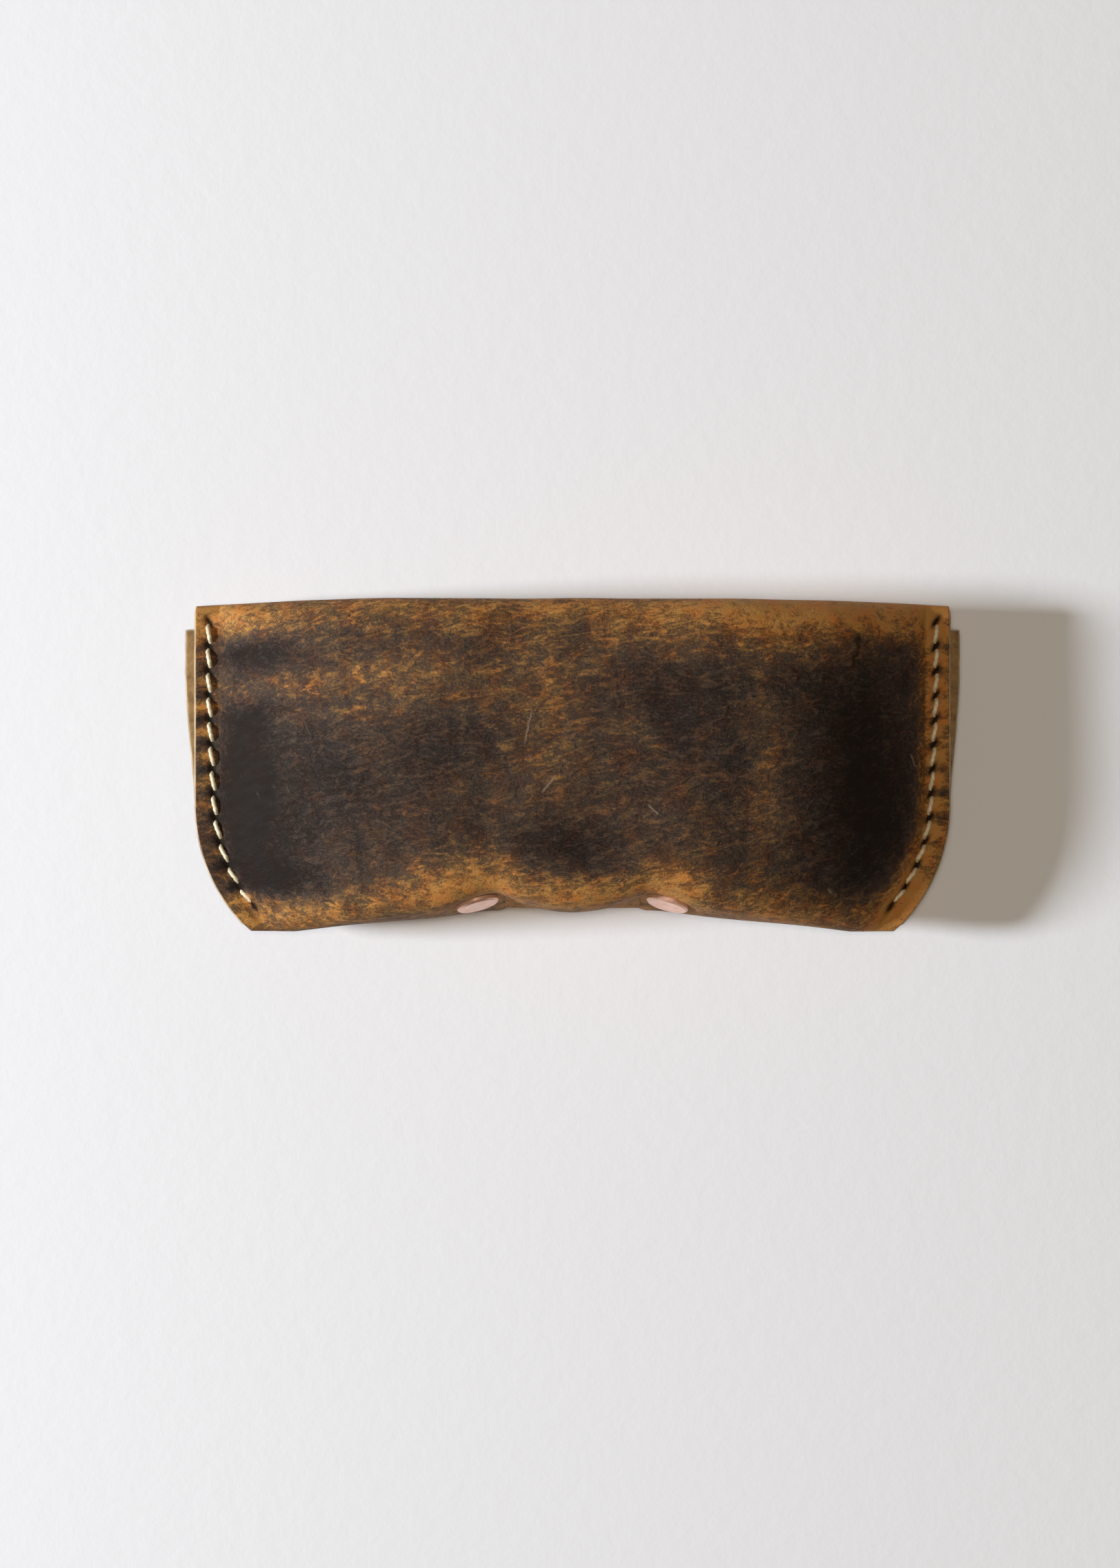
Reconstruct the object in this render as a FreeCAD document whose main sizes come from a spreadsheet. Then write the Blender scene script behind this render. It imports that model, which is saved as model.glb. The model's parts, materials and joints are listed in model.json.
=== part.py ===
import FreeCAD, Part
import math
import os
import Sketcher

# Soft leather pouch for a pair of glasses, millimetres, lying on its flap with the back up.
# +X along the pouch, +Y towards the fold where the back turns over into the flap, +Z up.
# The origin is under the middle of the pouch, on the surface that it lies on.

DIMENSIONS = [
    ("leather", 2.2),            # thickness of the hide
    ("gap", 0.3),                # clearance between the flap and the pouch
    ("half_width", 84.5),        # back panel, middle to side edge
    ("front_overhang", 2.3),     # how much wider the front panel is at the mouth
    ("fold_y", 37.05),            # outside of the fold over the mouth
    ("seam_z", 14.0),            # plane in which the back and front panels meet
    ("hinge_y", 37.25),           # line about which the flap turns, just outside the fold
    ("thickness", 38.0),         # the whole pouch, from the flap to the top of the back
    ("flat_half", 18.5),         # the middle stretch that keeps one section
    ("pillow_half", 79.0),       # where the panels come together at the side seams
    ("bottom_radius", 70.9),     # outside of the bottom wall, about the hinge line
    ("bottom_bow", 3.4),         # how far the middle of the bottom is drawn in
    ("corner", 8.0),             # outside radius of the long corners
    ("side_start_y", -8.65),      # where the side edge starts to curve in
    ("side_radius", 38.7),       # radius of that curve
    ("base_y", -37.05),           # bottom fold at its two ends
    ("base_half", 72.1),         # half the length of the bottom fold
    ("mouth_y", 30.4),           # edge of the front panel at the side seams
    ("mouth_dip", 19.0),         # how much lower that edge is in the middle
    ("stitch_inset", 3.1),       # stitch line to the edge of the back panel
    ("stitch_pitch", 5.3),
    ("stitch_first_y", 32.0),
    ("thread_radius", 0.45),
    ("loop_radius", 0.55),       # two passes of thread side by side in one hole
    ("hole_radius", 0.6),
    ("tongue_half", 14.75),      # half the width of the tongue
    ("tongue_tip_z", 32.0),
    ("tongue_tip_radius", 7.0),
    ("tongue_corner", 9.0),      # inside radius where the tongue turns up
    ("slot_z", 23.0),            # slot in the bottom wall
    ("slot_half", 15.8),
    ("rivet_x", 21.2),
    ("rivet_y", -30.2),
    ("rivet_z", 24.0),
    ("rivet_head_radius", 4.75),
    ("rivet_head", 1.1),
    ("rivet_shank_radius", 1.45),
    ("burr_radius", 4.0),
    ("burr_inner", 1.5),
    ("burr", 1.0),
    ("clench_radius", 2.3),
    ("clench", 0.7),
]
STITCHES = 13
BURIED = 0.2                     # each stitch ends this far short of the middle of its hole
RIVET_RISE = 14.0                # degrees that each rivet faces up
RIVET_TURN = 16.0                # degrees that each rivet faces the middle
STATIONS = (18.5, 34.0, 48.0, 60.0, 69.0, 75.0, 79.0)

# Sketch planes: how each is turned, and the world direction along its normal.
PLAN = (FreeCAD.Rotation(), FreeCAD.Vector(0, 0, 1))
ACROSS = (FreeCAD.Rotation(FreeCAD.Vector(1, 1, 1), 120), FreeCAD.Vector(1, 0, 0))
FRONT = (FreeCAD.Rotation(FreeCAD.Vector(1, 0, 0), 90), FreeCAD.Vector(0, -1, 0))

doc = FreeCAD.newDocument("glasses_pouch")
sheet = doc.addObject("Spreadsheet::Sheet", "Sizes")
for row, (alias, value) in enumerate(DIMENSIONS, start=1):
    sheet.set("A%d" % row, alias)
    sheet.set("B%d" % row, repr(value))
    sheet.setAlias("B%d" % row, alias)
doc.recompute()


class Size:
    """A length, with the sheet expression that gives it."""

    def __init__(self, value, text=None):
        self.value = float(value)
        self.text = text or "(%r)" % float(value)

    def __add__(self, other):
        other = as_size(other)
        return Size(self.value + other.value, "(%s + %s)" % (self.text, other.text))

    def __sub__(self, other):
        other = as_size(other)
        return Size(self.value - other.value, "(%s - %s)" % (self.text, other.text))

    def __mul__(self, other):
        other = as_size(other)
        return Size(self.value * other.value, "(%s * %s)" % (self.text, other.text))

    def __truediv__(self, other):
        other = as_size(other)
        return Size(self.value / other.value, "(%s / %s)" % (self.text, other.text))

    def __neg__(self):
        return self * -1.0

    def root(self):
        return Size(math.sqrt(self.value), "sqrt(%s)" % self.text)


def as_size(number):
    return number if isinstance(number, Size) else Size(number)


def larger(a, b):
    return a if a.value >= b.value else b


def smaller(a, b):
    return a if a.value <= b.value else b


SIZE = {alias: Size(value, "Sizes.%s" % alias) for alias, value in DIMENSIONS}


def leg(hypotenuse, other_leg):
    """The missing leg of a right triangle."""
    return (hypotenuse * hypotenuse - other_leg * other_leg).root()


def bind(thing, prop, size):
    thing.setExpression(prop, as_size(size).text)


def arc_edge(start, end, radius, left):
    """An arc under half a turn, drawn anticlockwise; left: its centre is left of start to end."""
    middle = (start + end) * 0.5
    chord = end - start
    aside = FreeCAD.Vector(-chord.y, chord.x, 0).normalize()
    depth = math.sqrt(max(radius ** 2 - chord.Length ** 2 / 4, 0))
    centre = middle + aside * (depth if left else -depth)
    top = centre - aside * (radius if left else -radius)
    return Part.Arc(start, top, end) if left else Part.Arc(end, top, start)


def profile(name, plane, offset, corners):
    """A closed sketch. Each corner is (x, y) or (x, y, radius, left) where an arc leaves it."""
    sketch = doc.addObject("Sketcher::SketchObject", name)
    rotation, normal = plane
    sketch.Placement = FreeCAD.Placement(normal * offset.value, rotation)
    points = [FreeCAD.Vector(corner[0].value, corner[1].value, 0) for corner in corners]
    for index, corner in enumerate(corners):
        start = points[index]
        end = points[(index + 1) % len(points)]
        if len(corner) == 2:
            sketch.addGeometry(Part.LineSegment(start, end), False)
        else:
            sketch.addGeometry(arc_edge(start, end, corner[2].value, corner[3]), False)
    tie_corners(sketch, corners)
    return sketch


def end_tags(corner):
    """The sketch's own tags of an edge's first and last point, in the profile's order."""
    clockwise = len(corner) > 2 and not corner[3]
    return (2, 1) if clockwise else (1, 2)


def tie_corners(sketch, corners):
    """Join the edges of a closed sketch and bind every corner and radius to the sheet."""
    tags = [end_tags(corner) for corner in corners]
    count = len(corners)
    for index, corner in enumerate(corners):
        here = tags[index][0]
        before = (index - 1) % count
        sketch.addConstraint(Sketcher.Constraint("Coincident", before, tags[before][1], index, here))
        for kind, size in (("DistanceX", corner[0]), ("DistanceY", corner[1])):
            number = sketch.addConstraint(Sketcher.Constraint(kind, index, here, size.value))
            sketch.setExpression("Constraints[%d]" % number, size.text)
        if len(corner) > 2:
            number = sketch.addConstraint(Sketcher.Constraint("Radius", index, corner[2].value))
            sketch.setExpression("Constraints[%d]" % number, corner[2].text)


def extrude(name, sketch, length, symmetric=False):
    """A prism on a sketch, along the sketch's normal."""
    prism = doc.addObject("Part::Extrusion", name)
    prism.Base = sketch
    prism.DirMode = "Normal"
    prism.Solid = True
    prism.Symmetric = symmetric
    bind(prism, "LengthFwd", length)
    return prism


def loft(name, sections):
    solid = doc.addObject("Part::Loft", name)
    solid.Sections = sections
    solid.Solid = True
    solid.Ruled = True
    return solid


def fuse(name, shapes):
    joined = doc.addObject("Part::MultiFuse", name)
    joined.Shapes = shapes
    return joined


def common(name, shapes):
    shared = doc.addObject("Part::MultiCommon", name)
    shared.Shapes = shapes
    return shared


def cut(name, base, tool):
    rest = doc.addObject("Part::Cut", name)
    rest.Base = base
    rest.Tool = tool
    return rest


def cylinder(name, radius, height, start, direction):
    rod = doc.addObject("Part::Cylinder", name)
    bind(rod, "Radius", radius)
    bind(rod, "Height", height)
    turn = FreeCAD.Rotation(FreeCAD.Vector(0, 0, 1), direction)
    rod.Placement = FreeCAD.Placement(start, turn)
    return rod


# ---------------------------------------------------------------- the filled shape of the pouch

def fullness(x):
    """1 over the flat middle, falling to 0 at the side seams."""
    flat = SIZE["flat_half"].value
    along = max(0.0, (abs(x) - flat) / (SIZE["pillow_half"].value - flat))
    return max(0.0, 1.0 - along ** 2.2) ** 0.8


def base_line(x):
    """Outermost y of the bottom wall at x."""
    flat = SIZE["flat_half"]
    run = SIZE["base_half"] - flat - 10.0
    along = smaller(larger((Size(abs(x)) - flat) / run, Size(0)), Size(1))
    fold = SIZE["hinge_y"] - SIZE["bottom_radius"] - SIZE["bottom_bow"] * along * along
    margin = SIZE["half_width"] - SIZE["pillow_half"]
    across = Size(abs(x)) - (SIZE["half_width"] - SIZE["side_radius"])
    reach = SIZE["side_radius"] - margin
    if across.value < 0:
        return fold
    side = SIZE["side_start_y"]
    if across.value < reach.value:
        side = side - leg(reach, across)
    return larger(fold, side)


def section(name, x, inset):
    """Section of the pouch at x, drawn in from the outside by inset."""
    full = fullness(x)
    rise = SIZE["thickness"] - SIZE["seam_z"] - SIZE["leather"]
    drop = SIZE["seam_z"] - SIZE["leather"] * 2 - SIZE["gap"]
    top = SIZE["seam_z"] + SIZE["leather"] + rise * full - inset
    low = SIZE["seam_z"] - SIZE["leather"] - drop * full + inset
    corner = smaller(SIZE["corner"] - inset, (top - low) * 0.45)
    radius = SIZE["bottom_radius"] - inset
    centre = base_line(x) + SIZE["bottom_radius"]
    fold = SIZE["fold_y"] - inset
    high_z = top - corner
    low_z = low + corner
    high_y = centre - leg(radius - corner, high_z - SIZE["seam_z"])
    low_y = centre - leg(radius - corner, low_z - SIZE["seam_z"])
    reach = radius / (radius - corner)
    high_wall_y = centre - (centre - high_y) * reach
    high_wall_z = SIZE["seam_z"] + (high_z - SIZE["seam_z"]) * reach
    low_wall_y = centre - (centre - low_y) * reach
    low_wall_z = SIZE["seam_z"] + (low_z - SIZE["seam_z"]) * reach
    corners = [
        (fold - corner, top),
        (high_y, top, corner, True),
        (high_wall_y, high_wall_z, radius, True),
        (low_wall_y, low_wall_z, corner, True),
        (low_y, low),
        (fold - corner, low, corner, True),
        (fold, low_z),
        (fold, high_z, corner, True),
    ]
    return profile(name, ACROSS, Size(x), corners)


def both_sides(places):
    return [-x for x in reversed(places)] + list(places)


def pillow(name, inset, stations):
    """The filled pouch, or the room in it, lofted from one side seam to the other."""
    places = both_sides(stations)
    return loft(name, [section("%s_section_%02d" % (name, i), x, inset) for i, x in enumerate(places)])


def panel(name, z, overhang):
    """One flat side-seam layer, to the true outline of a panel."""
    top_half = SIZE["half_width"] + overhang
    corners = [
        (-top_half, SIZE["fold_y"]),
        (-SIZE["half_width"], SIZE["side_start_y"], SIZE["side_radius"], True),
        (-SIZE["base_half"], SIZE["base_y"], Size(720.0), False),
        (SIZE["base_half"], SIZE["base_y"], SIZE["side_radius"], True),
        (SIZE["half_width"], SIZE["side_start_y"]),
        (top_half, SIZE["fold_y"]),
    ]
    return extrude(name, profile(name + "_outline", PLAN, z, corners), SIZE["leather"])


# ---------------------------------------------------------------- the tongue and its slot

def turn_up(offset):
    """Centre height, y and radius of the corner where the tongue turns up, offset outwards."""
    radius = SIZE["tongue_corner"] + offset
    about = SIZE["bottom_radius"] - SIZE["leather"] * 2 - SIZE["gap"] + offset
    height = SIZE["leather"] + SIZE["tongue_corner"]
    below = height - SIZE["seam_z"]
    y = SIZE["hinge_y"] - leg(about - radius, below)
    share = about / (about - radius)
    wall_y = SIZE["hinge_y"] - (SIZE["hinge_y"] - y) * share
    wall_z = SIZE["seam_z"] + below * share
    return {"radius": radius, "about": about, "y": y, "low": height - radius, "wall": (wall_y, wall_z)}


def on_circle(about, z):
    """y of the circle of radius about, round the hinge line, on the bottom side."""
    return SIZE["hinge_y"] - leg(about, z - SIZE["seam_z"])


def band(name, inner, outer, start_y, end_z):
    """The strip between two offsets of the tongue's inside face."""
    inside = turn_up(inner)
    outside = turn_up(outer)
    corners = [
        (start_y, outside["low"]),
        (outside["y"], outside["low"], outside["radius"], False),
        (outside["wall"][0], outside["wall"][1], outside["about"], False),
        (on_circle(outside["about"], end_z), end_z),
        (on_circle(inside["about"], end_z), end_z, inside["about"], True),
        (inside["wall"][0], inside["wall"][1], inside["radius"], True),
        (inside["y"], inside["low"]),
        (start_y, inside["low"]),
    ]
    return profile(name, ACROSS, Size(0), corners)


# ---------------------------------------------------------------- stitching

def stitch_point(index):
    """The hole number index on the right-hand seam, counted from the mouth."""
    inset = SIZE["stitch_inset"].value
    radius = SIZE["side_radius"].value - inset
    start = SIZE["side_start_y"].value
    along = index * SIZE["stitch_pitch"].value
    straight = SIZE["stitch_first_y"].value - start
    if along <= straight:
        return SIZE["half_width"].value - inset, SIZE["stitch_first_y"].value - along
    angle = (along - straight) / radius
    centre = SIZE["half_width"].value - SIZE["side_radius"].value
    return centre + radius * math.cos(angle), start - radius * math.sin(angle)


def upright(name, radius, low, high, x, y):
    return cylinder(name, radius, high - low, FreeCAD.Vector(x, y, low.value), FreeCAD.Vector(0, 0, 1))


def seam_holes(side, name):
    low = SIZE["seam_z"] - SIZE["leather"] * 2
    high = SIZE["seam_z"] + SIZE["leather"] * 2
    places = [stitch_point(i) for i in range(STITCHES)]
    return [upright("%s_%02d" % (name, i), SIZE["hole_radius"], low, high, side * x, y)
            for i, (x, y) in enumerate(places)]


def thread(name, side):
    """Saddle stitching: a loop down every hole, and a stitch between holes on both faces."""
    over = SIZE["thread_radius"]
    faces = {"back": SIZE["seam_z"] + SIZE["leather"] + over, "front": SIZE["seam_z"] - SIZE["leather"] - over}
    places = [stitch_point(i) for i in range(STITCHES)]
    proud = over * 1.3
    pieces = [upright("%s_loop_%02d" % (name, i), SIZE["loop_radius"], faces["front"] - proud,
                      faces["back"] + proud, side * x, y) for i, (x, y) in enumerate(places)]
    for face, z in faces.items():
        for i in range(STITCHES - 1):
            start = FreeCAD.Vector(side * places[i][0], places[i][1], z.value)
            end = FreeCAD.Vector(side * places[i + 1][0], places[i + 1][1], z.value)
            along = (end - start).normalize()
            span = Size((end - start).Length - 2 * BURIED)
            rod = cylinder("%s_%s_%02d" % (name, face, i), over, span, start + along * BURIED, along)
            pieces.append(rod)
    return fuse(name, pieces)


# ---------------------------------------------------------------- rivets

def rivet_frame(side):
    """Where the head of a rivet bears on the leather, and the way that it faces."""
    rise = math.radians(RIVET_RISE)
    turn = math.radians(RIVET_TURN)
    facing = FreeCAD.Vector(-side * math.cos(rise) * math.sin(turn), -math.cos(rise) * math.cos(turn), math.sin(rise))
    seat = FreeCAD.Vector(side * SIZE["rivet_x"].value, SIZE["rivet_y"].value, SIZE["rivet_z"].value)
    return seat, facing


def revolve(name, corners):
    """A body of revolution about its own Z, from a half section in x and z."""
    body = doc.addObject("Part::Revolution", name)
    body.Source = profile(name + "_section", FRONT, Size(0), corners)
    body.Axis = (0, 0, 1)
    body.Angle = 360
    body.Solid = True
    return body


def rivet(name, side):
    """A copper rivet: flat head outside, shank through the wall, clenched over its burr."""
    head = SIZE["rivet_head"]
    edge = SIZE["rivet_head_radius"]
    shank = SIZE["rivet_shank_radius"]
    clench_top = -(SIZE["leather"] + SIZE["burr"])
    clench_end = clench_top - SIZE["clench"]
    soft = head * 0.35
    corners = [
        (Size(0), clench_end),
        (SIZE["clench_radius"] * 0.6, clench_end),
        (SIZE["clench_radius"], clench_top - SIZE["clench"] * 0.4),
        (SIZE["clench_radius"], clench_top),
        (shank, clench_top),
        (shank, Size(0)),
        (edge, Size(0)),
        (edge, head - soft),
        (edge - soft, head),
        (Size(0), head),
    ]
    body = revolve(name, corners)
    seat, facing = rivet_frame(side)
    body.Placement = FreeCAD.Placement(seat, FreeCAD.Rotation(FreeCAD.Vector(0, 0, 1), facing))
    return body


def burr(name, side):
    """The copper washer on the inside of the wall."""
    high = -SIZE["leather"]
    low = high - SIZE["burr"]
    corners = [
        (SIZE["burr_inner"], low),
        (SIZE["burr_radius"] - 0.3, low),
        (SIZE["burr_radius"], low + 0.3),
        (SIZE["burr_radius"], high),
        (SIZE["burr_inner"], high),
    ]
    body = revolve(name, corners)
    seat, facing = rivet_frame(side)
    body.Placement = FreeCAD.Placement(seat, FreeCAD.Rotation(FreeCAD.Vector(0, 0, 1), facing))
    return body


def rivet_rods(side, name):
    """The boss of leather under a rivet, the dimple that takes its head, and its hole."""
    seat, facing = rivet_frame(side)
    boss = cylinder(name + "_boss", SIZE["rivet_head_radius"] + SIZE["leather"], SIZE["leather"] + 12.0,
                    seat - facing * SIZE["leather"].value, facing)
    dimple = cylinder(name + "_dimple", SIZE["rivet_head_radius"] + 0.4, Size(12.0), seat, facing)
    hole = cylinder(name + "_hole", SIZE["burr_inner"], Size(12.0), seat - facing * 6.0, facing)
    return boss, dimple, hole


# ---------------------------------------------------------------- the pouch

def mouth_cut():
    """Everything that the front panel leaves open under the flap."""
    reach = SIZE["half_width"] + SIZE["front_overhang"] + 5.0
    dip = SIZE["mouth_dip"]
    half = SIZE["pillow_half"]
    radius = (half * half + dip * dip) / (dip * 2)
    corners = [
        (-reach, SIZE["mouth_y"]),
        (-half, SIZE["mouth_y"], radius, True),
        (half, SIZE["mouth_y"]),
        (reach, SIZE["mouth_y"]),
        (reach, SIZE["fold_y"] + 5.0),
        (-reach, SIZE["fold_y"] + 5.0),
    ]
    return extrude("mouth_room", profile("mouth_outline", PLAN, Size(0), corners), SIZE["seam_z"] + SIZE["gap"] / 2)


def pouch_leather():
    """Back panel, bottom wall and front panel, one piece of hide."""
    leather = SIZE["leather"]
    outside = fuse("pouch_outside", [
        pillow("pouch_form", Size(0), STATIONS),
        panel("back_layer", SIZE["seam_z"], Size(0)),
        panel("front_layer", SIZE["seam_z"] - leather, SIZE["front_overhang"]),
    ])
    rods = [rivet_rods(side, name) for side, name in ((-1, "rivet_left"), (1, "rivet_right"))]
    slot_wall = extrude("slot_wall", band("slot_wall_section", -(SIZE["gap"] + leather), Size(6.0), Size(-15.0),
                                          SIZE["slot_z"]), (SIZE["slot_half"] + leather) * 2, True)
    room = cut("pouch_room", pillow("pouch_cavity", leather, STATIONS[:-1]),
               fuse("room_kept", [slot_wall] + [boss for boss, dimple, hole in rods]))
    tongue_room = extrude("tongue_room", band("tongue_room_section", -SIZE["gap"], Size(9.0), Size(-18.0),
                                              SIZE["slot_z"]), SIZE["slot_half"] * 2, True)
    tongue_way = extrude("tongue_way", band("tongue_way_section", -SIZE["gap"], leather + SIZE["gap"], Size(-18.0),
                                            SIZE["tongue_tip_z"] + 1.0), SIZE["slot_half"] * 2, True)
    holes = seam_holes(-1, "hole_left") + seam_holes(1, "hole_right")
    openings = fuse("pouch_openings", [mouth_cut(), tongue_room, tongue_way]
                    + [rod for boss, dimple, hole in rods for rod in (dimple, hole)])
    shell = cut("pouch_shell", outside, room)
    opened = cut("pouch_opened", shell, openings)
    return cut("pouch_leather", opened, fuse("stitch_holes", holes))


# ---------------------------------------------------------------- the flap

def flap_section(name, x):
    """The flap at x: down from the fold, round the corner and along under the pouch."""
    full = fullness(x)
    leather = SIZE["leather"]
    seam_drop = SIZE["seam_z"] - leather * 2 - SIZE["thread_radius"] * 2 - SIZE["gap"]
    low = seam_drop * (1 - full)
    top = SIZE["seam_z"] - SIZE["gap"] / 2
    outer = smaller(SIZE["corner"] + leather + SIZE["gap"], (top - low) * 0.8)
    inner = outer - leather
    fold = SIZE["fold_y"]
    end = Size(-19.2)
    corners = [
        (fold, top),
        (fold, low + outer, outer, False),
        (fold - outer, low),
        (end, low),
        (end, low + leather),
        (fold - outer, low + leather, inner, True),
        (fold - leather, low + outer),
        (fold - leather, top),
    ]
    return profile(name, ACROSS, Size(x), corners)


def flap_outline():
    """The cut of the flap, from the fold to the root of the tongue."""
    half = SIZE["half_width"]
    tongue = SIZE["tongue_half"]
    right = [
        (tongue, Size(-25.0)),
        (tongue, Size(-19.0), Size(14.0), True),
        (Size(24.0), Size(-11.0)),
        (Size(64.0), Size(-1.0), Size(26.0), True),
        (half, Size(20.0)),
        (half, SIZE["fold_y"] + 1.0),
    ]
    left = [
        (-half, SIZE["fold_y"] + 1.0),
        (-half, Size(20.0), Size(26.0), True),
        (Size(-64.0), Size(-1.0)),
        (Size(-24.0), Size(-11.0), Size(14.0), True),
        (-tongue, Size(-19.0)),
        (-tongue, Size(-25.0)),
    ]
    return extrude("flap_cut", profile("flap_outline", PLAN, Size(-1), right + left), SIZE["seam_z"] + 2.0)


def tongue():
    """The tongue: round the bottom corner, up the bottom wall and in through the slot."""
    strip = extrude("tongue_strip", band("tongue_section", Size(0), SIZE["leather"], Size(-10.0),
                                         SIZE["tongue_tip_z"]), SIZE["tongue_half"] * 2, True)
    half = SIZE["tongue_half"]
    tip = SIZE["tongue_tip_z"]
    radius = SIZE["tongue_tip_radius"]
    corners = [
        (-half, Size(-1)),
        (half, Size(-1)),
        (half, tip - radius, radius, True),
        (half - radius, tip),
        (-half + radius, tip, radius, True),
        (-half, tip - radius),
    ]
    shape = extrude("tongue_shape", profile("tongue_outline", FRONT, Size(0), corners), Size(60.0))
    return common("tongue", [strip, shape])


def flap_leather():
    """The flap and its tongue, the free end of the same hide."""
    places = both_sides(STATIONS + (SIZE["half_width"].value,))
    sheet_form = loft("flap_form", [flap_section("flap_section_%02d" % i, x) for i, x in enumerate(places)])
    return fuse("flap_leather", [common("flap_sheet", [sheet_form, flap_outline()]), tongue()])


def failed(thing):
    return any(word in ("Invalid", "Error") for word in thing.State)


def main():
    parts = [
        pouch_leather(),
        flap_leather(),
        thread("thread_left", -1),
        thread("thread_right", 1),
        rivet("rivet_left", -1),
        rivet("rivet_right", 1),
        burr("burr_left", -1),
        burr("burr_right", 1),
    ]
    doc.recompute()
    bad = [thing.Name for thing in doc.Objects if failed(thing)]
    if bad:
        raise RuntimeError("not computed: %s" % ", ".join(bad))
    for part in parts:
        if part.Shape.isNull() or not part.Shape.isValid():
            raise RuntimeError("%s has no valid shape" % part.Label)
    os.makedirs("parts", exist_ok=True)
    for part in parts:
        part.Shape.exportStep("parts/%s.step" % part.Label)
        box = part.Shape.BoundBox
        print("%-14s %d solids %10.1f mm3  x %.1f..%.1f  y %.1f..%.1f  z %.1f..%.1f" % (
            part.Label, len(part.Shape.Solids), part.Shape.Volume,
            box.XMin, box.XMax, box.YMin, box.YMax, box.ZMin, box.ZMax))


main()
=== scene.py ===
import json
import math

import bmesh
import bpy
import numpy as np
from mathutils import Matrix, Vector, noise


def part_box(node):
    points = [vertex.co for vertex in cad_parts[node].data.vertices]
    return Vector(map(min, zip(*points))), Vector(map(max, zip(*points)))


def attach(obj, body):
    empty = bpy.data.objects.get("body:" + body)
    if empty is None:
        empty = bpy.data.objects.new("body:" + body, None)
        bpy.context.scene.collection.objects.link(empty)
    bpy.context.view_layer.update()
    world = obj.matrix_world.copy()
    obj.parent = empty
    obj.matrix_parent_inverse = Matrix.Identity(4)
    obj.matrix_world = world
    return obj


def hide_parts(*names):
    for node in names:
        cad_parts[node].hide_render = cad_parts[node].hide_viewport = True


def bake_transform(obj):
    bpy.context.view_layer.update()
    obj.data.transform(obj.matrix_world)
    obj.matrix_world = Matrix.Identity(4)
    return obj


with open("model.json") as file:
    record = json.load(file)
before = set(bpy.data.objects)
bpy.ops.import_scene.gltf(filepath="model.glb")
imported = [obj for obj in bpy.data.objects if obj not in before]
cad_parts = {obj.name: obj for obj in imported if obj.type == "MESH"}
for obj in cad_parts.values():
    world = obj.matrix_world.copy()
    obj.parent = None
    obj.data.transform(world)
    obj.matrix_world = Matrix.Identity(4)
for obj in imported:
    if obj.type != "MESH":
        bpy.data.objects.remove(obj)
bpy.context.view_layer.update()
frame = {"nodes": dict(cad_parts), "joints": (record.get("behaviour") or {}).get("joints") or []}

# ------------------------------------------------------------------ sizes, in metres

MM = 0.001
POUCH_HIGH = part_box("pouch_leather")[1]
FLAP_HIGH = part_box("flap_leather")[1]
HINGE = Vector(frame["joints"][0]["pos_m"])

LEATHER = 2.15 * MM                      # thickness of the hide
GAP = 0.3 * MM                           # play of the tongue in its slot
EDGE_ROUND = 0.38 * MM                   # how far the burnished edges swell out

HALF = FLAP_HIGH.x                       # half the back panel's length
BASE_HALF = HALF - 12.4 * MM             # half the bottom fold's length
FOLD_Y = POUCH_HIGH.y                    # where the back turns over into the flap
TOP_Z = POUCH_HIGH.z
SEAM_Z = HINGE.z                         # the side seams, and the fold's axis
FLAT = 18.5 * MM                         # half the length that is at full thickness
PILLOW = HALF - 5.5 * MM                 # where the swell of the pouch ends at the seams
WALL_R = 70.9 * MM                       # bottom wall, about the hinge line
SIDE_Y = -8.65 * MM                      # where the side edges start to curve in
SIDE_R = 38.7 * MM                       # radius of that curve
CORNER = 8.0 * MM                        # rounding along the fold and the bottom
MOUTH_Y = 30.4 * MM                      # front panel's edge at the seams
MOUTH_DIP = 19.0 * MM                    # how much nearer the bottom it is in the middle
OVERHANG = 2.3 * MM                      # how far it passes the back's sides, by the mouth

SLOT_Z = 23.0 * MM
SLOT_HALF = 16.4 * MM
SLOT_PULL = 4.1 * MM                     # how far the two ends of the slot are drawn in
TONGUE_HALF = 14.75 * MM
TONGUE_CORNER = 9.0 * MM
TONGUE_R = WALL_R - 2 * 2.2 * MM - GAP   # inside of the tongue, about the hinge line
TIP_Z = FLAP_HIGH.z
TIP_R = 7 * MM                           # rounding of the tongue's tip

STITCHES = 13
PITCH = 5.5 * MM
STITCH_INSET = 3.0 * MM                  # stitch line in from the edge, by the mouth
SEAM_DRIFT = 1.5 * MM                    # how much further in the stitch line lies at the bottom
STITCH_Y = 32.4 * MM                     # the hole nearest the mouth
THREAD_R = 0.50 * MM

RIVET_SEATS = [Vector((side * 21.2 * MM, -30.2 * MM, 24.0 * MM)) for side in (-1, 1)]
RIVET_RISE = math.radians(14)
RIVET_TURN = math.radians(16)

# Rows of points in each stretch of the pouch's sheet, and the last row of some of them.
FOLD_ROWS = 12
CORNER_ROWS = 9
BACK_ROWS = 118
UPPER_ROWS = 14
LOWER_ROWS = 16
FRONT_ROWS = 60
FOLD_END = FOLD_ROWS + CORNER_ROWS
BACK_END = FOLD_END + BACK_ROWS
WALL_END = BACK_END + 2 * CORNER_ROWS + UPPER_ROWS + 1 + LOWER_ROWS


def smooth(value, low, high):
    """0 at low, 1 at high, with a soft start and end."""
    along = np.clip((value - low) / (high - low), 0, 1)
    return along * along * (3 - 2 * along)


def bell(distance, width):
    """1 at distance 0, 0.37 at the width and about 0 at twice the width."""
    return np.exp(-(distance / width) ** 2)


def spot(across, along, width, length):
    """A bell in two directions."""
    return np.exp(-(across / width) ** 2 - (along / length) ** 2)


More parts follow.
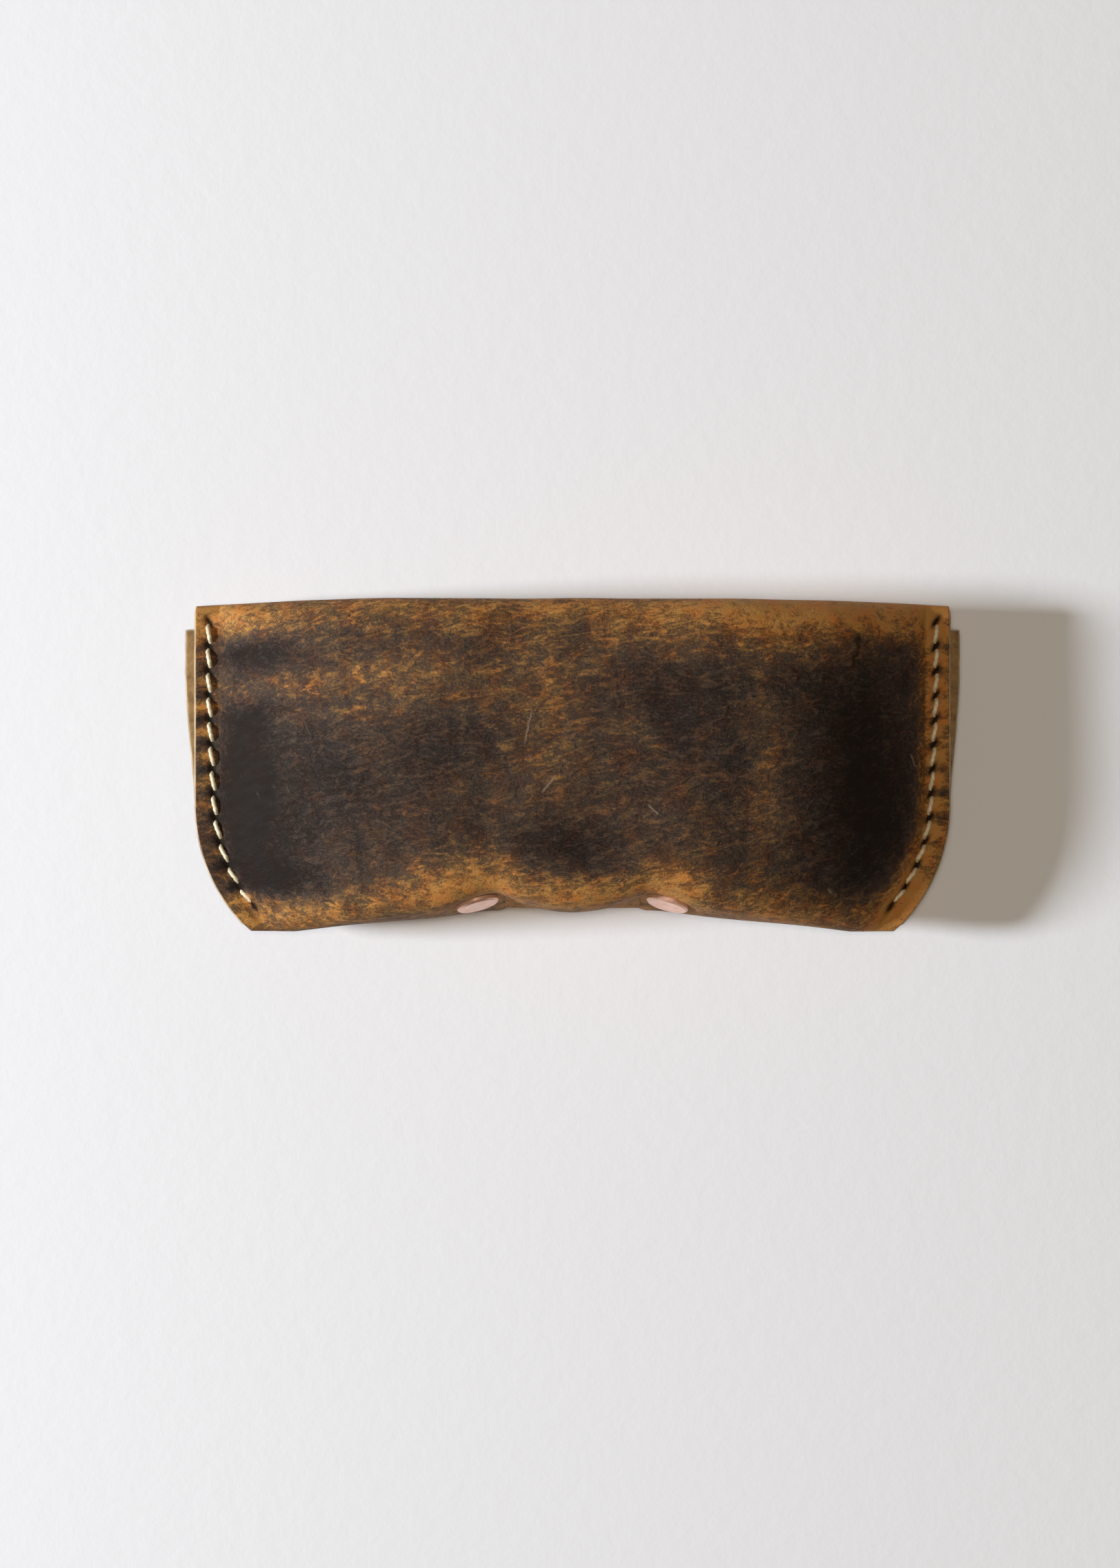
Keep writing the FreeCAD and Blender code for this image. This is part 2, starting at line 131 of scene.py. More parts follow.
# ------------------------------------------------------------------ form of the pouch

def fullness(x):
    """1 over the flat middle, falling to 0 at the side seams."""
    along = np.clip((np.abs(x) - FLAT) / (PILLOW - FLAT), 0, 1)
    return (1 - along ** 2.2) ** 0.8


def side_half(y):
    """Half the back panel's length at y."""
    below = np.clip(SIDE_Y - y, 0, SIDE_R)
    return HALF - SIDE_R + np.sqrt(SIDE_R ** 2 - below ** 2)


def base_y(x):
    """Outermost y of the bottom wall."""
    along = np.clip((np.abs(x) - FLAT) / (BASE_HALF - FLAT - 10 * MM), 0, 1)
    return HINGE.y - WALL_R - 3.4 * MM * along ** 1.6


def pouch_section(s):
    """Key sizes of the pouch's section at each share s of its half length."""
    full = fullness(s * HALF)
    top = SEAM_Z + 2.2 * MM + (TOP_Z - SEAM_Z - 2.9 * MM) * full
    low = SEAM_Z - 2.2 * MM - (SEAM_Z - 4.7 * MM) * full
    corner = np.minimum(CORNER, (top - low) * 0.45)
    centre = base_y(s * BASE_HALF) + WALL_R
    key = {"full": full, "top": top, "low": low, "corner": corner, "centre": centre}
    for name, z in (("high", top - corner), ("foot", low + corner)):
        key[name + "_z"] = z
        key[name + "_y"] = centre - np.sqrt((WALL_R - corner) ** 2 - (z - SEAM_Z) ** 2)
        key[name + "_turn"] = np.arcsin((z - SEAM_Z) / (WALL_R - corner))
    key["fold"] = FOLD_Y - 1.1 * MM * np.abs(s) ** 5
    key["split"] = SEAM_Z + 0.2 * MM + (top - SEAM_Z - 2.2 * MM) * 0.12
    return key


def arc_rows(count, start, end, centre_y, centre_z, radius):
    """Rows of points round an arc; start and end are angles from +Y towards +Z."""
    rows = []
    for along in np.linspace(0, 1, count + 1)[1:]:
        angle = start + (end - start) * along
        rows.append((centre_y + radius * np.cos(angle), centre_z + radius * np.sin(angle)))
    return rows


def line_rows(count, start, end):
    """Rows of points on a straight line, up to its end and without its start."""
    return [(start[0] + (end[0] - start[0]) * a, start[1] + (end[1] - start[1]) * a)
            for a in np.linspace(0, 1, count + 1)[1:]]


def pouch_rows(s):
    """Rows of the hide from the fold, over the back, round the bottom and along the front."""
    k = pouch_section(s)
    quarter = math.pi / 2
    rows = [(k["fold"], k["split"])]
    rows += line_rows(FOLD_ROWS, rows[0], (k["fold"], k["high_z"]))
    fold_centre = k["fold"] - k["corner"]
    rows += arc_rows(CORNER_ROWS, 0 * s, quarter + 0 * s, fold_centre, k["high_z"], k["corner"])
    rows += line_rows(BACK_ROWS, (fold_centre, k["top"]), (k["high_y"], k["top"]))
    wall_start = math.pi - k["high_turn"]
    wall_end = math.pi - k["foot_turn"]
    rows += arc_rows(CORNER_ROWS, quarter + 0 * s, wall_start, k["high_y"], k["high_z"], k["corner"])
    slot_turn = math.asin((SLOT_Z - SEAM_Z) / WALL_R)
    slot = np.clip(math.pi - slot_turn, wall_start + (wall_end - wall_start) * 0.3,
                   wall_start + (wall_end - wall_start) * 0.7)
    rows += arc_rows(UPPER_ROWS, wall_start, slot, k["centre"], SEAM_Z, WALL_R)
    slot_row = len(rows) - 1
    rows.append(rows[-1])
    rows += arc_rows(LOWER_ROWS, slot, wall_end, k["centre"], SEAM_Z, WALL_R)
    foot_end = 3 * quarter + 0 * s
    rows += arc_rows(CORNER_ROWS, wall_end, foot_end, k["foot_y"], k["foot_z"], k["corner"])
    mouth = MOUTH_Y - MOUTH_DIP * np.clip(1 - (s * HALF / PILLOW) ** 2, 0, 1)
    rows += line_rows(FRONT_ROWS, (k["foot_y"], k["low"]), (mouth, k["low"]))
    sheets = []
    for index, (y, z) in enumerate(rows):
        half = side_half(y[-1])
        if index > WALL_END:
            half += OVERHANG * smooth(y[-1], -14 * MM, 22 * MM)
        sheets.append(np.stack([s * half, y, z], axis=1))
    points = np.array(sheets)
    return points, slot_row


def columns():
    """Shares of the half length, close together along the stitching."""
    inner = np.linspace(0, 0.90, 78)
    outer = np.linspace(0.90, 1.0, 22)[1:]
    right = np.concatenate([inner, outer])
    return np.concatenate([-right[:0:-1], right])


def seam_inset(y):
    """Distance of the stitch line in from the edge at y."""
    return STITCH_INSET + SEAM_DRIFT * smooth(-y, -20 * MM, 20 * MM)


def stitch_places(side):
    """The holes of one seam, counted from the mouth."""
    places = []
    for index in range(STITCHES):
        along = index * PITCH
        straight = STITCH_Y - SIDE_Y
        y = STITCH_Y - along
        turn = max(along - straight, 0) / (SIDE_R - STITCH_INSET - SEAM_DRIFT)
        if turn > 0:
            y = SIDE_Y - (SIDE_R - seam_inset(y)) * math.sin(turn)
        radius = SIDE_R - seam_inset(y)
        places.append(Vector((side * (HALF - SIDE_R + radius * math.cos(turn)), y, 0)))
    return places


HOLES = stitch_places(-1) + stitch_places(1)


def hole_depth(x, y, across, along):
    """1 in a stitch hole, an awl slit that leans, falling to 0 round it."""
    depth = np.zeros_like(x)
    for hole in HOLES:
        lean = 0.55 * (1 if hole.x > 0 else -1)
        dx = (x - hole.x) - lean * (y - hole.y)
        dy = y - hole.y
        depth = np.maximum(depth, spot(dx, dy, across, along))
    return depth


def seam_distance(x, y):
    """Distance in from the stitch line."""
    return (side_half(y) - seam_inset(y)) - np.abs(x)


def stitch_tone(x, y):
    """Tan where each stitch has pulled the leather, dark beside its holes."""
    tone = 0 * x
    for places in (HOLES[:STITCHES], HOLES[STITCHES:]):
        for index, (first, second) in enumerate(zip(places, places[1:])):
            uneven = 0.8 + 0.4 * math.sin(7.1 * index + places[0].x * 100)
            middle = (first + second) / 2
            outer = middle.x * (1 + 0.9 * MM / abs(middle.x))
            tone += 0.50 * uneven * spot(x - outer, y - middle.y, 2.1 * MM, 1.6 * MM)
            outer = first.x * (1 + 1.9 * MM * uneven / abs(first.x))
            tone -= 0.30 * uneven * spot(x - outer, y - first.y, 1.7 * MM, 1.3 * MM)
    return tone


def rivet_facing(side):
    """The way a rivet's head faces: out of the bottom wall, a little up and to the middle."""
    return Vector((-side * math.cos(RIVET_RISE) * math.sin(RIVET_TURN),
                   -math.cos(RIVET_RISE) * math.cos(RIVET_TURN), math.sin(RIVET_RISE)))


def draw_in(x, z):
    """How far the bottom wall is pulled in at the two ends of the slot."""
    reach = np.abs(x) / SLOT_HALF
    pull = np.where(reach < 1, SLOT_PULL * reach ** 1.7, SLOT_PULL * bell(np.abs(x) - SLOT_HALF, 8.5 * MM))
    return pull * np.where(z > SLOT_Z, bell(z - SLOT_Z, 20 * MM), bell(z - SLOT_Z, 11 * MM))


def seat_rivets(points, wall):
    """Press the leather round each rivet flat against the underside of its head."""
    sunk = 0.06 * MM
    for side, seat in zip((-1, 1), RIVET_SEATS):
        facing = np.array(rivet_facing(side))
        offset = points - np.array(seat)
        height = offset @ facing
        radial = np.linalg.norm(offset - height[..., None] * facing, axis=-1)
        weight = (1 - smooth(radial, 4.6 * MM, 8.5 * MM)) * wall
        points -= (weight * (height + sunk))[..., None] * facing
    return points


def shape_pouch(points, slot_row):
    """Everything that makes the plain form into worked leather."""
    rows = np.arange(len(points))[:, None]
    # The bottom wall, with the strips of the back and the front beside it.
    wall_from = BACK_END - 39
    wall_to = WALL_END + 17
    x, y, z = points[..., 0].copy(), points[..., 1].copy(), points[..., 2].copy()
    back = ((rows > FOLD_END) & (rows <= BACK_END)) * np.ones_like(x)
    wall = ((rows > wall_from) & (rows < wall_to)) * np.ones_like(x)
    front = (rows > WALL_END) * np.ones_like(x)
    full = fullness(x)
    crown = np.clip(1 - ((y - 1 * MM) / (34 * MM)) ** 2, 0, 1)
    points[..., 2] += back * 0.9 * MM * crown * full
    inside = seam_distance(x, y)
    groove = 0.35 * MM * bell(inside, 1.6 * MM) + 0.50 * MM * hole_depth(x, y, 0.62 * MM, 1.2 * MM)
    points[..., 2] -= (back - front) * groove
    pull = draw_in(x, z) * smooth(-y, 14 * MM, 27 * MM) * wall
    points[..., 1] += pull
    below = (rows > slot_row) & (np.abs(x) < SLOT_HALF * 1.15)
    tuck = 4.9 * MM * (1 - smooth(np.abs(x), 8 * MM, 17.0 * MM)) * below
    points[..., 1] += tuck * smooth(-y, 12 * MM, 30 * MM)
    lip = bell(z - SLOT_Z, 6 * MM) * bell(x, 11 * MM) * (rows <= slot_row) * wall
    points[..., 1] += 0.45 * MM * lip
    points = unevenness(points, (0.20 + 0.80 * full) * 0.60 * MM, 60)
    return seat_rivets(points, wall)


def unevenness(points, amounts, scale):
    """Slow unevenness of a hand-made piece, mostly along Z."""
    flat = points.reshape(-1, 3).copy()
    for index, (point, amount) in enumerate(zip(flat, amounts.ravel())):
        shift = amount * noise.noise(Vector(point) * scale + Vector((3.1, 7.7, 1.9)))
        flat[index] += (0, 0.4 * shift, shift)
    return flat.reshape(points.shape)


# ------------------------------------------------------------------ meshes

def link(name, mesh):
    piece = bpy.data.objects.new(name, mesh)
    bpy.context.scene.collection.objects.link(piece)
    return piece


def hide_mesh(name, points, slit=None, thickness=LEATHER, flip=False):
    """A sheet of leather from its grain side: grain, flesh side and cut edges."""
    count_rows, count_columns = points.shape[:2]
    index = np.arange(count_rows * count_columns).reshape(count_rows, count_columns)
    skipped = -1
    if slit is not None:
        skipped, half = slit
        outside = np.abs(points[skipped, :, 0]) >= half
        index[skipped + 1, outside] = index[skipped, outside]
    used, compact = np.unique(index, return_inverse=True)
    compact = compact.reshape(index.shape)
    grain = points.reshape(-1, 3)[used]
    build = bmesh.new()
    corners = [build.verts.new(p) for p in grain]
    for row in range(count_rows - 1):
        if row == skipped:
            continue
        for column in range(count_columns - 1):
            ring = [compact[row, column], compact[row, column + 1],
                    compact[row + 1, column + 1], compact[row + 1, column]]
            if flip:
                ring.reverse()
            build.faces.new([corners[i] for i in ring])
    build.normal_update()
    build.verts.index_update()
    flesh = [build.verts.new(v.co - v.normal * thickness) for v in corners]
    rims = [edge for edge in build.edges if edge.is_boundary]
    loops = [(edge.link_loops[0].vert, edge.link_loops[0].link_loop_next.vert) for edge in rims]
    outward = {}
    for first, second in loops:
        joined = first.index < count_columns and second.index < count_columns
        for corner in (first, second):
            push = Vector() if joined else (second.co - first.co).cross(corner.normal).normalized()
            outward[corner] = outward.get(corner, Vector()) + push
    middle = {}
    for corner, push in outward.items():
        place = (corner.co + flesh[corner.index].co) / 2 + push.normalized() * EDGE_ROUND
        middle[corner] = build.verts.new(place)
    for face in list(build.faces):
        turned = build.faces.new([flesh[v.index] for v in reversed(face.verts)])
        turned.material_index = 1
    for first, second in loops:
        upper = build.faces.new([second, first, middle[first], middle[second]])
        lower = build.faces.new([middle[second], middle[first], flesh[first.index], flesh[second.index]])
        upper.material_index = lower.material_index = 2
    mesh = bpy.data.meshes.new(name)
    build.to_mesh(mesh)
    build.free()
    for face in mesh.polygons:
        face.use_smooth = True
    return link(name, mesh)


def paint(piece, name, values):
    layer = piece.data.attributes.new(name, "FLOAT", "POINT")
    layer.data.foreach_set("value", np.asarray(values, np.float32))


def vertices(piece):
    flat = np.zeros(len(piece.data.vertices) * 3, np.float32)
    piece.data.vertices.foreach_get("co", flat)
    return flat.reshape(-1, 3).astype(float)


# ------------------------------------------------------------------ materials

def node(tree, kind, **values):
    made = tree.nodes.new(kind)
    for key, value in values.items():
        setattr(made, key, value)
    return made


def feed(tree, target, source):
    tree.links.new(source, target)


def blank(name, color, roughness):
    material = bpy.data.materials.new(name)
    material.use_nodes = True
    shader = material.node_tree.nodes["Principled BSDF"]
    shader.inputs["Base Color"].default_value = (*color, 1)
    shader.inputs["Roughness"].default_value = roughness
    return material, material.node_tree, shader


def noise_of(tree, scale, detail=3.0, roughness=0.55, stretch=(1, 1, 1), turn=0.0,
             shift=(0, 0, 0), bend=0.0):
    """Noise in object space; stretch above 1 draws it out, and turn is the angle of that in plan."""
    place = node(tree, "ShaderNodeTexCoord")
    mapping = node(tree, "ShaderNodeMapping", vector_type="TEXTURE")
    mapping.inputs["Scale"].default_value = stretch
    mapping.inputs["Rotation"].default_value = (0, 0, turn)
    mapping.inputs["Location"].default_value = shift
    texture = node(tree, "ShaderNodeTexNoise")
    texture.inputs["Scale"].default_value = scale
    texture.inputs["Detail"].default_value = detail
    texture.inputs["Roughness"].default_value = roughness
    texture.inputs["Distortion"].default_value = bend
    feed(tree, mapping.inputs["Vector"], place.outputs["Object"])
    feed(tree, texture.inputs["Vector"], mapping.outputs["Vector"])
    return texture.outputs["Fac"]


def math_of(tree, operation, first, second, clamp=False):
    made = node(tree, "ShaderNodeMath", operation=operation, use_clamp=clamp)
    for slot, value in zip(made.inputs, (first, second)):
        if hasattr(value, "is_linked"):
            feed(tree, slot, value)
        else:
            slot.default_value = value
    return made.outputs[0]


def ramp_of(tree, source, stops):
    made = node(tree, "ShaderNodeValToRGB")
    ramp = made.color_ramp
    while len(ramp.elements) < len(stops):
        ramp.elements.new(0.5)
    for element, (place, color) in zip(ramp.elements, stops):
        element.position = place
        element.color = (*color, 1)
    feed(tree, made.inputs["Fac"], source)
    return made.outputs["Color"]


def attribute_of(tree, name):
    return node(tree, "ShaderNodeAttribute", attribute_name=name).outputs["Fac"]


def bump_of(tree, height, strength, distance, before=None):
    made = node(tree, "ShaderNodeBump")
    made.inputs["Strength"].default_value = strength
    made.inputs["Distance"].default_value = distance
    feed(tree, made.inputs["Height"], height)
    if before is not None:
        feed(tree, made.inputs["Normal"], before)
    return made.outputs["Normal"]


def mix_color(tree, factor, first, second, mode="MIX"):
    made = node(tree, "ShaderNodeMix", data_type="RGBA", blend_type=mode)
    for slot, value in ((made.inputs[0], factor), (made.inputs[6], first), (made.inputs[7], second)):
        if hasattr(value, "is_linked"):
            feed(tree, slot, value)
        else:
            slot.default_value = value
    return made.outputs[2]


def spread_of(tree, source, amount):
    """A noise moved to swing evenly about 0 by amount."""
    return math_of(tree, "MULTIPLY", math_of(tree, "SUBTRACT", source, 0.5), amount)


def crease_of(tree, source, width):
    """1 on thin wandering lines, where the noise crosses its middle, and 0 off them."""
    off = math_of(tree, "ABSOLUTE", math_of(tree, "SUBTRACT", source, 0.5), 0.0)
    return math_of(tree, "SUBTRACT", 1.0, math_of(tree, "DIVIDE", off, width, True), True)


def mark_of(tree, start, end, width, bend=0.4):
    """1 on a thin line from start to end in plan, both in mm, tapering and slightly bent."""
    span = Vector((end[0] - start[0], end[1] - start[1], 0)) * MM
    place = node(tree, "ShaderNodeTexCoord")
    mapping = node(tree, "ShaderNodeMapping", vector_type="TEXTURE")
    mapping.inputs["Location"].default_value = (start[0] * MM, start[1] * MM, 0)
    mapping.inputs["Rotation"].default_value = (0, 0, math.atan2(span.y, span.x))
    mapping.inputs["Scale"].default_value = (span.length, width * MM, 1)
    feed(tree, mapping.inputs["Vector"], place.outputs["Object"])
    parts = node(tree, "ShaderNodeSeparateXYZ")
    feed(tree, parts.inputs["Vector"], mapping.outputs["Vector"])
    wander = spread_of(tree, noise_of(tree, 600, 3, 0.6), bend * 10)
    across = math_of(tree, "ABSOLUTE", math_of(tree, "ADD", parts.outputs["Y"], wander), 0.0)
    centred = math_of(tree, "ABSOLUTE", math_of(tree, "SUBTRACT", parts.outputs["X"], 0.5), 0.0)
    inside = math_of(tree, "SUBTRACT", 1.0, math_of(tree, "MULTIPLY", centred, 2.0), True)
    inside = math_of(tree, "MULTIPLY", inside, 3.0, True)
    return math_of(tree, "MULTIPLY", math_of(tree, "SUBTRACT", 1.0, across, True), inside)


# Marks on the back, in mm: start, end, width, and whether it is a pale scuff or a dark cut.
MARKS = [
    ((63.6, 29.8), (62.0, 21.0), 1.00, False),
    ((63.9, 26.6), (67.2, 28.3), 0.35, False),
    ((16.3, -8.6), (18.8, -10.8), 0.35, True),
    ((77.0, -0.5), (75.2, 2.8), 0.28, True),
    ((-3.5, -2.0), (-7.0, -6.0), 0.28, True),
    ((-9.0, 12.5), (-10.6, 4.5), 0.25, True),
    ((56.5, -27.0), (57.6, -28.0), 0.55, True),
]


def grain_material():
    """Waxed pull-up leather: near black where it lies flat, tan where it has been bent; its tone mask also
    carries painted highlight and painted shade, and the creases and stitch holes get painted shade.
    """
    material, tree, shader = blank("pull_up_leather", (0.1, 0.06, 0.03), 0.6)
    shader.inputs["Specular IOR Level"].default_value = 0.10
    tan_and_painted_light = attribute_of(tree, "tan_and_painted_light")
    hole = attribute_of(tree, "hole")
    slant = noise_of(tree, 420, 5, 0.68, stretch=(2.5, 0.85, 1), turn=0.28, bend=1.2)
    level_line = noise_of(tree, 520, 5, 0.7, stretch=(2.3, 0.75, 1), turn=-0.12,
                          shift=(0.3, 0.1, 0), bend=1.4)
    upright = noise_of(tree, 300, 4, 0.66, stretch=(0.8, 2.2, 1), turn=0.25,
                       shift=(0.1, 0.5, 0), bend=0.4)
    wrinkle = math_of(tree, "MAXIMUM", crease_of(tree, slant, 0.035), crease_of(tree, level_line, 0.035))
    level = math_of(tree, "ADD", tan_and_painted_light, spread_of(tree, noise_of(tree, 85, 4, 0.6), 0.36))
    swing = math_of(tree, "ADD", 0.20, math_of(tree, "MULTIPLY", tan_and_painted_light, 1.45))
    fine = noise_of(tree, 1900, 3, 0.7)
    swings = ((slant, 0.95), (level_line, 0.80), (upright, 0.50), (fine, 0.60))
    for source, amount in swings:
        share = math_of(tree, "MULTIPLY", spread_of(tree, source, amount), swing)
        level = math_of(tree, "ADD", level, share)
    # Painted shade along the creases: the wrinkle lines are painted darker as well as bumped in.
    level = math_of(tree, "SUBTRACT", level, math_of(tree, "MULTIPLY", wrinkle, 0.24))
    color = ramp_of(tree, level, [
        (0.04, (0.013, 0.009, 0.007)),
        (0.26, (0.044, 0.031, 0.025)),
        (0.46, (0.094, 0.056, 0.030)),
        (0.66, (0.205, 0.105, 0.036)),
        (0.95, (0.430, 0.215, 0.060)),
    ])
    ruddy = math_of(tree, "SUBTRACT", noise_of(tree, 230, 4, 0.6), 0.42, True)
    ruddy = math_of(tree, "MULTIPLY", ruddy, 4.0, True)
    color = mix_color(tree, ruddy, color, mix_color(tree, 1.0, color, (1.12, 0.84, 0.70, 1), "MULTIPLY"))
    scratch = noise_of(tree, 500, 2, 0.5, stretch=(0.5, 5.0, 1), turn=0.5, shift=(0.7, 0.2, 0), bend=0.3)
    scratch = math_of(tree, "MULTIPLY", math_of(tree, "SUBTRACT", scratch, 0.73, True), 5.0, True)
    color = mix_color(tree, scratch, color, (0.22, 0.15, 0.10, 1))
    pale_ink = (0.22, 0.165, 0.115, 1)
    dark_ink = (0.020, 0.010, 0.006, 1)
    for start, end, width, pale in MARKS:
        ink = pale_ink if pale else dark_ink
        color = mix_color(tree, mark_of(tree, start, end, width), color, ink)
    # Painted shade in the stitch holes: the grain goes near black over each awl slit.
    color = mix_color(tree, hole, color, (0.010, 0.006, 0.004, 1))
    feed(tree, shader.inputs["Base Color"], color)
    normal = bump_of(tree, noise_of(tree, 1700, 3, 0.65), 0.45, 0.0003)
    normal = bump_of(tree, wrinkle, -0.30, 0.0004, normal)
    normal = bump_of(tree, slant, 0.40, 0.0012, normal)
    feed(tree, shader.inputs["Normal"], normal)
    rough = math_of(tree, "ADD", math_of(tree, "MULTIPLY", noise_of(tree, 300, 4), 0.22), 0.52)
    feed(tree, shader.inputs["Roughness"], rough)
    return material


def flesh_material():
    material, tree, shader = blank("flesh_side", (0.16, 0.085, 0.04), 0.9)
    color = ramp_of(tree, noise_of(tree, 420, 5, 0.7), [
        (0.25, (0.125, 0.070, 0.026)),
        (0.75, (0.380, 0.235, 0.095)),
    ])
    feed(tree, shader.inputs["Base Color"], color)
    feed(tree, shader.inputs["Normal"], bump_of(tree, noise_of(tree, 1600, 4, 0.7), 0.5, 0.0004))
    return material


def edge_material():
    material, tree, shader = blank("cut_edge", (0.34, 0.24, 0.14), 0.7)
    color = ramp_of(tree, noise_of(tree, 700, 4, 0.6, stretch=(3, 3, 1)), [
        (0.30, (0.230, 0.150, 0.080)),
        (0.70, (0.560, 0.430, 0.280)),
    ])
    feed(tree, shader.inputs["Base Color"], color)
    feed(tree, shader.inputs["Normal"], bump_of(tree, noise_of(tree, 2200, 3), 0.4, 0.0002))
    return material


def thread_material():
    material, tree, shader = blank("waxed_thread", (0.5, 0.4, 0.25), 0.55)
    color = ramp_of(tree, noise_of(tree, 900, 3), [
        (0.30, (0.520, 0.420, 0.260)),
        (0.70, (0.860, 0.780, 0.590)),
    ])
    feed(tree, shader.inputs["Base Color"], color)
    return material


def copper_material():
    material, tree, shader = blank("copper", (0.8, 0.43, 0.32), 0.42)
    shader.inputs["Metallic"].default_value = 0.6
    color = ramp_of(tree, noise_of(tree, 520, 5, 0.7), [
        (0.26, (0.120, 0.050, 0.030)),
        (0.34, (0.780, 0.460, 0.350)),
        (0.70, (0.980, 0.680, 0.560)),
    ])
    feed(tree, shader.inputs["Base Color"], color)
    feed(tree, shader.inputs["Normal"], bump_of(tree, noise_of(tree, 700, 4), 0.35, 0.0002))
    return material


MATERIALS = {
    "grain": grain_material(),
    "flesh": flesh_material(),
    "edge": edge_material(),
    "thread": thread_material(),
    "copper": copper_material(),
}


def dress(piece, *names):
    """Give a piece these materials in place of the ones it came with."""
    if piece.data.materials:
        piece.data.materials.clear()
    for name in names:
        piece.data.materials.append(MATERIALS[name])


# ------------------------------------------------------------------ the pouch

# Soft patches in plan, in mm: middle x and y, reach along and across, turn in degrees,
# and how much tanner (or darker, below 0).
PATCHES = [
    (-70, 25, 11, 4, 0, -0.34),
    (-60, 18, 19, 2.6, 9, 0.20),
    (-72, 10, 6, 4, 0, -0.26),
    (-34, 20, 44, 8, 3, 0.12),
    (-73, -8, 19, 7.5, 90, -0.46),
    (-60, -8, 22, 13, 90, -0.17),
    (-36, 0, 24, 13, 6, -0.13),
    (-34, 34, 44, 6, 0, -0.12),
    (-67, -25, 14, 5, -6, -0.30),
    (-60, -33, 24, 3.5, 0, 0.22),
    (-6, 8, 16, 7, 95, 0.13),
    (4, 22, 20, 3, -20, 0.12),
    (16, 8, 14, 3, -62, 0.14),
    (-58, 11, 26, 1.6, 8, 0.10),
    (12, 18, 12, 6, -15, -0.22),
    (24, 10, 16, 8, 60, -0.16),
    (34, 0, 18, 5, 90, -0.12),
    (42, -4, 14, 3, 85, 0.12),
    # Darker over the right-hand slope: partly the leather's own dark tone, partly painted shade where it
    # turns away from the lamp.
    (63, 2, 25, 13, 90, -0.31),
    (70, -14, 14, 9, 70, -0.16),
    (0, -17, 11, 6, 0, -0.28),
    # Tan round and between the rivets: partly leather drawn tan round them, partly painted highlight.
    (-22, -26, 10, 6, 10, 0.46),
    (-34, -26, 10, 5, 0, 0.14),
    (0, -29, 18, 4.5, 0, 0.34),
    (21, -27, 8, 6, 0, 0.42),
    (60, 35, 34, 6, 0, 0.40),
    (0, 36, 70, 4, 0, 0.10),
    (30, 26, 30, 4, 0, 0.10),
    (-78, 33, 12, 5, 0, 0.24),
    (86, -6, 34, 4.5, 90, 0.30),
    (76, -30, 9, 7, 40, 0.40),
    (50, -34, 20, 3, 0, 0.20),
    (64, -26, 8, 5, 0, -0.14),
    (54, 26, 8, 4, 0, 0.16),
]


def tan_and_painted_light_level(points):
    """How tan the leather is: folds, edges and stitching are tan, the flat middle is dark; some patches
    are painted highlight and painted shade.
    """
    x, y, z = points[:, 0], points[:, 1], points[:, 2]
    level = 0.42 + 0 * x
    level += 0.36 * smooth(y, 25 * MM, 36 * MM)
    level += 0.22 * smooth(-y, 22 * MM, 32 * MM)
    inside = seam_distance(x, y)
    # Tanner along the right-hand stitching than along the left.
    level += (0.06 + 0.48 * (x > 0)) * bell(inside - 0.5 * MM, 3.0 * MM)
    level += 0.08 * (inside < -1.2 * MM) + stitch_tone(x, y)
    for px, py, along, across, degrees, amount in PATCHES:
        turn = math.radians(degrees)
        u = (x / MM - px) * math.cos(turn) + (y / MM - py) * math.sin(turn)
        v = (y / MM - py) * math.cos(turn) - (x / MM - px) * math.sin(turn)
        level += amount * spot(u, v, along, across)
    return level


def pouch():
    """The pouch's hide, slit for the tongue."""
    shares = columns()
    points, slot_row = pouch_rows(shares)
    points = shape_pouch(points, slot_row)
    piece = hide_mesh("pouch_hide", points, slit=(slot_row, SLOT_HALF), flip=True)
    at = vertices(piece)
    paint(piece, "tan_and_painted_light", tan_and_painted_light_level(at))
    # Mask of painted shade for the stitch holes, turned near black in the grain material.
    paint(piece, "hole", np.clip(1.8 * hole_depth(at[:, 0], at[:, 1], 0.62 * MM, 1.25 * MM), 0, 1))
    dress(piece, "grain", "flesh", "edge")
    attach(piece, "pouch")
    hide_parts("pouch_leather")


# ------------------------------------------------------------------ the flap

def flap_low(x):
    """Height of the flap's outer face: 0 over the flat middle, more towards the sides."""
    return (SEAM_Z - 5.6 * MM) * (1 - fullness(x))


def flap_half(y):
    """Half the flap's width at y, along its front: full at the fold, then sweeping in to the tongue."""
    sweep = smooth(y, -19 * MM, 21 * MM)
    lift = np.clip((y + 19 * MM) / (40 * MM), 0, 1) ** 1.35
    return TONGUE_HALF + (HALF - TONGUE_HALF) * (0.45 * sweep + 0.55 * lift)


